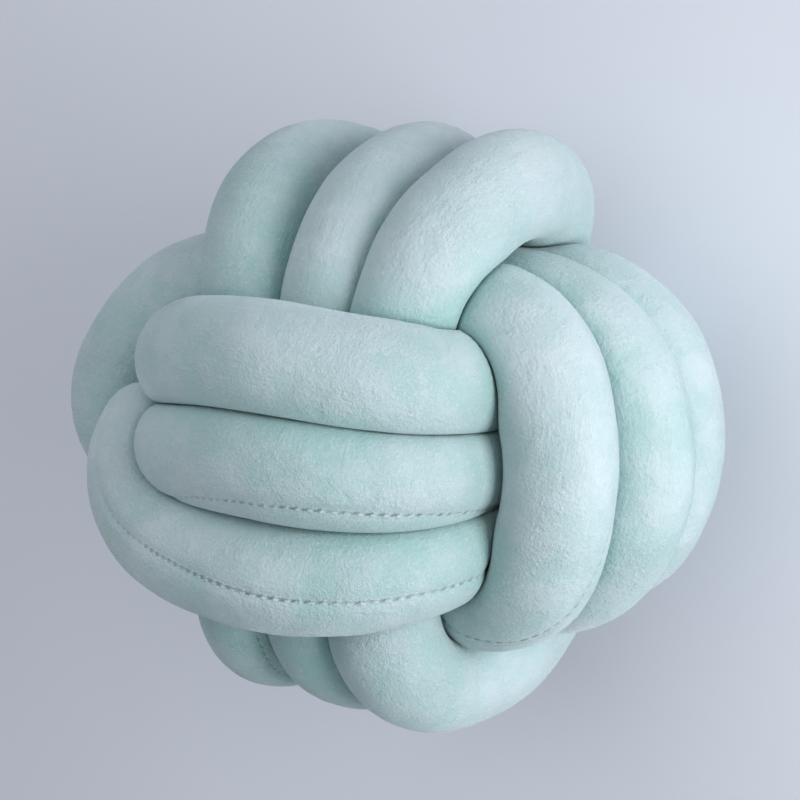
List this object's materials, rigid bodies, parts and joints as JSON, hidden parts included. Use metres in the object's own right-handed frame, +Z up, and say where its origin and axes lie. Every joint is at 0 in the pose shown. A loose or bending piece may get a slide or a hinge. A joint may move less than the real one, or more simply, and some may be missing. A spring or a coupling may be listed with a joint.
{
  "type": "knot cushion",
  "caption": "Stuffed plush tube wound into a round ball knot of side-by-side turns, for a sofa, bed or chair.",
  "frame": {"origin": "middle of the bounding box at the level the ball rests on", "axes": "+Z up, out of the face that the ball shows to the viewer; +X along that face's strands; +Y across them"},
  "size_m": [0.3146, 0.2928, 0.2922],
  "materials": {
    "plush": "short brushed pile, matt with a soft sheen"
  },
  "bodies": {
    "root": {"knot_tube": "plush"}
  },
  "joints": []
}
